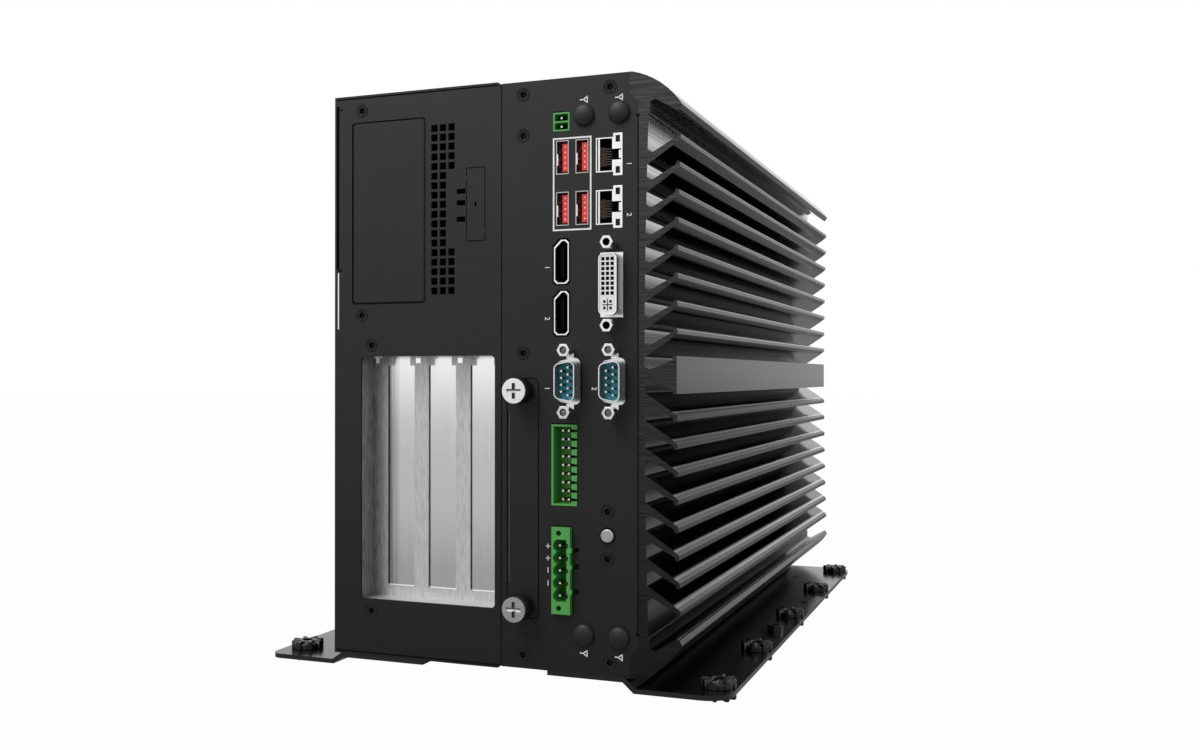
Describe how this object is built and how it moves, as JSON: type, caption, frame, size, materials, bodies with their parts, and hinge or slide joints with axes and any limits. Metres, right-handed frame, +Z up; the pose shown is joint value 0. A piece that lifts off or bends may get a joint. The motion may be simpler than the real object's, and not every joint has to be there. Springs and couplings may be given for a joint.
{
  "type": "fanless_industrial_box_computer",
  "caption": "Fanless industrial box computer with a bowed finned heatsink, a three-slot card cage, a pull-out drive tray and damper mounting brackets.",
  "frame": {"origin": "Midway between the four corner dampers, on the plane that they stand on.", "axes": "+X runs right to the heatsink, +Y runs back from the connector panels, +Z runs up."},
  "size_m": [0.211, 0.3543, 0.2511],
  "materials": {
    "anodised_black": "black anodised extrusion",
    "powder_black": "fine textured black powder coat",
    "bright_steel": "plated bright steel sheet",
    "green_board": "green circuit board",
    "aluminium_block": "plain machined aluminium",
    "black_plastic": "moulded black plastic",
    "brass_hex": "brass",
    "red_plastic": "moulded red plastic",
    "white_plastic": "moulded white plastic",
    "teal_plastic": "moulded teal plastic",
    "gold_pins": "gold plated contacts",
    "nickel": "bright nickel plate",
    "green_plastic": "moulded green plastic",
    "rubber_black": "black rubber",
    "screw_black": "black oxide screws"
  },
  "bodies": {
    "chassis": {"heatsink": "anodised_black", "main_chassis": "powder_black", "io_front_panel": "powder_black", "io_rear_panel": "powder_black", "cage_cover": "powder_black", "cage_front_panel": "powder_black", "cage_rear_panel": "powder_black", "cage_side_plate": "powder_black", "hatch_plate": "powder_black", "slot_panel": "bright_steel", "slot_covers": "bright_steel", "slot_screws": "bright_steel", "motherboard": "green_board", "cpu_block": "aluminium_block", "memory_modules": "black_plastic", "backplane": "green_board", "backplane_standoffs": "brass_hex", "card_sockets": "black_plastic", "usb_shells": "bright_steel", "usb_tongues": "red_plastic", "lan_jacks": "bright_steel", "dp_shells": "bright_steel", "dp_bodies": "black_plastic", "dvi_shell": "bright_steel", "dvi_insulator": "white_plastic", "com_shells": "bright_steel", "com_insulators": "teal_plastic", "com_pins": "gold_pins", "jackscrews": "nickel", "switch_terminal": "green_plastic", "dio_header": "green_plastic", "dc_header": "green_plastic", "header_pins": "nickel", "antenna_plugs": "rubber_black", "button_collar": "nickel", "tray_bay": "bright_steel", "io_screws": "screw_black", "io_rear_screws": "screw_black", "cage_screws": "screw_black", "cage_rear_screws": "screw_black", "bracket_right": "powder_black", "bracket_left": "powder_black", "dampers_right": "rubber_black", "dampers_left": "rubber_black", "bracket_bush": "rubber_black", "bracket_screws": "screw_black"},
    "button": {"power_button": "nickel"},
    "thumb_upper": {"thumb_screw_upper": "nickel", "knob_upper": "black_plastic"},
    "thumb_lower": {"thumb_screw_lower": "nickel", "knob_lower": "black_plastic"},
    "tray": {"drive_tray": "powder_black", "drive": "aluminium_block"}
  },
  "joints": [
    {"name": "button_press", "type": "slide", "parent": "chassis", "child": "button", "axis": [0, 1, 0], "range_m": [0, 0.0008], "stiffness_N_per_m": 400},
    {"name": "tray_pull", "type": "slide", "parent": "chassis", "child": "tray", "axis": [0, -1, 0], "range_m": [0, 0.1]},
    {"name": "thumb_upper_turn", "type": "hinge", "parent": "tray", "child": "thumb_upper", "pos_m": [0.01795, -0.1615, 0.12295], "axis": [0, -1, 0], "continuous": true},
    {"name": "thumb_lower_turn", "type": "hinge", "parent": "tray", "child": "thumb_lower", "pos_m": [0.01795, -0.1615, 0.03435], "axis": [0, -1, 0], "continuous": true}
  ]
}
